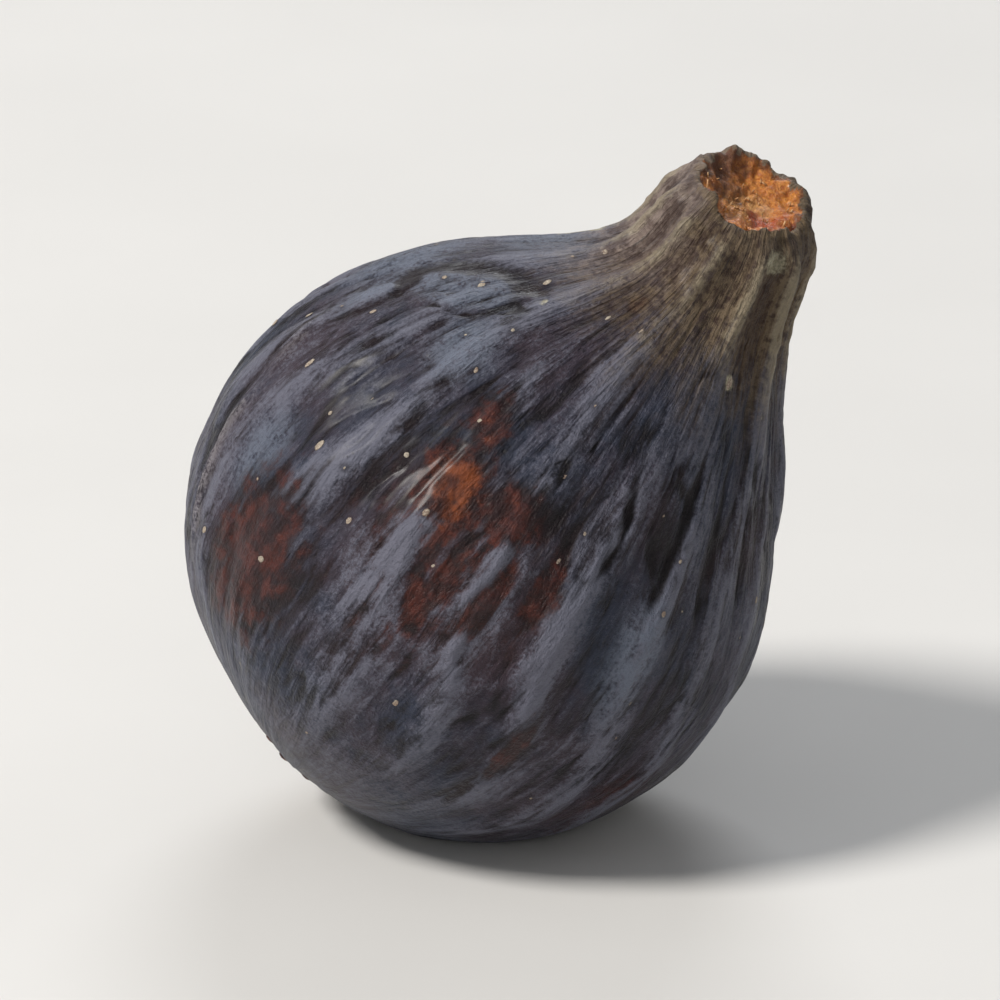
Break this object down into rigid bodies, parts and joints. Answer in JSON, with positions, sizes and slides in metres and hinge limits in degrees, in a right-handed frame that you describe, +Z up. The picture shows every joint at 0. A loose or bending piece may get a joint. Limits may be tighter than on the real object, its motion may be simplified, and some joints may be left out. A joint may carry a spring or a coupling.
{
  "type": "fresh fig",
  "caption": "Fresh dark fig, pear-shaped and ribbed, with a bent neck, a torn stalk end and a scaly eye, resting on a small flat spot.",
  "frame": {"origin": "middle of the flat spot on the underside that the fig rests on", "axes": "+Z up from the surface it rests on; the fruit's own axis lies in the XZ plane, from the eye at low -X up to the neck at +X; -Y is the side that faces the viewer"},
  "size_m": [0.0592, 0.0555, 0.0644],
  "materials": {
    "fig_skin": "dark purple skin under a thin blue-grey waxy bloom, rubbed to glossy red-brown in places, paler on the neck, with an orange torn cut"
  },
  "bodies": {
    "root": {"fig": "fig_skin"}
  },
  "joints": []
}
